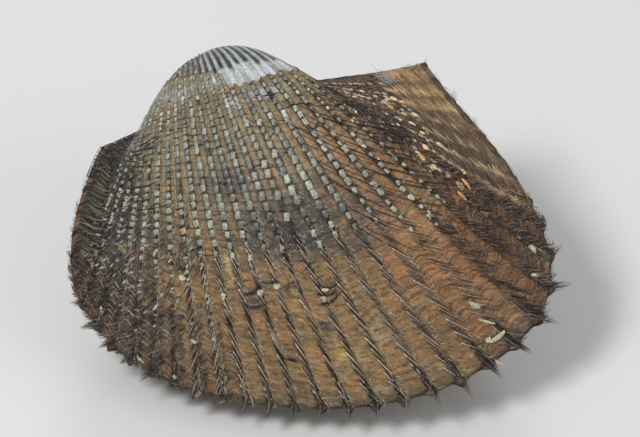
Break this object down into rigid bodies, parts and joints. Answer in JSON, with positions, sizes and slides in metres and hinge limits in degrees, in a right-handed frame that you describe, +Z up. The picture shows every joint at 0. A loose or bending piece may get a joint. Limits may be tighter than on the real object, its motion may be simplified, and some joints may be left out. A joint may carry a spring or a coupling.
{
  "type": "ark clam shell",
  "caption": "Closed ark clam shell with radial ribs, a straight hinge line, a worn umbo and a bristly brown skin, lying on its right valve.",
  "frame": {"origin": "middle of the box's underside, on the surface the shell lies on", "axes": "+X along the hinge line to the back end of the shell, +Y to the hinge side, +Z up"},
  "size_m": [0.057, 0.0448, 0.0354],
  "materials": {
    "left_valve_skin": null,
    "right_valve_skin": null,
    "ligament_horn": null
  },
  "bodies": {
    "root": {"left_valve": "left_valve_skin", "right_valve": "right_valve_skin", "ligament": "ligament_horn"}
  },
  "joints": []
}
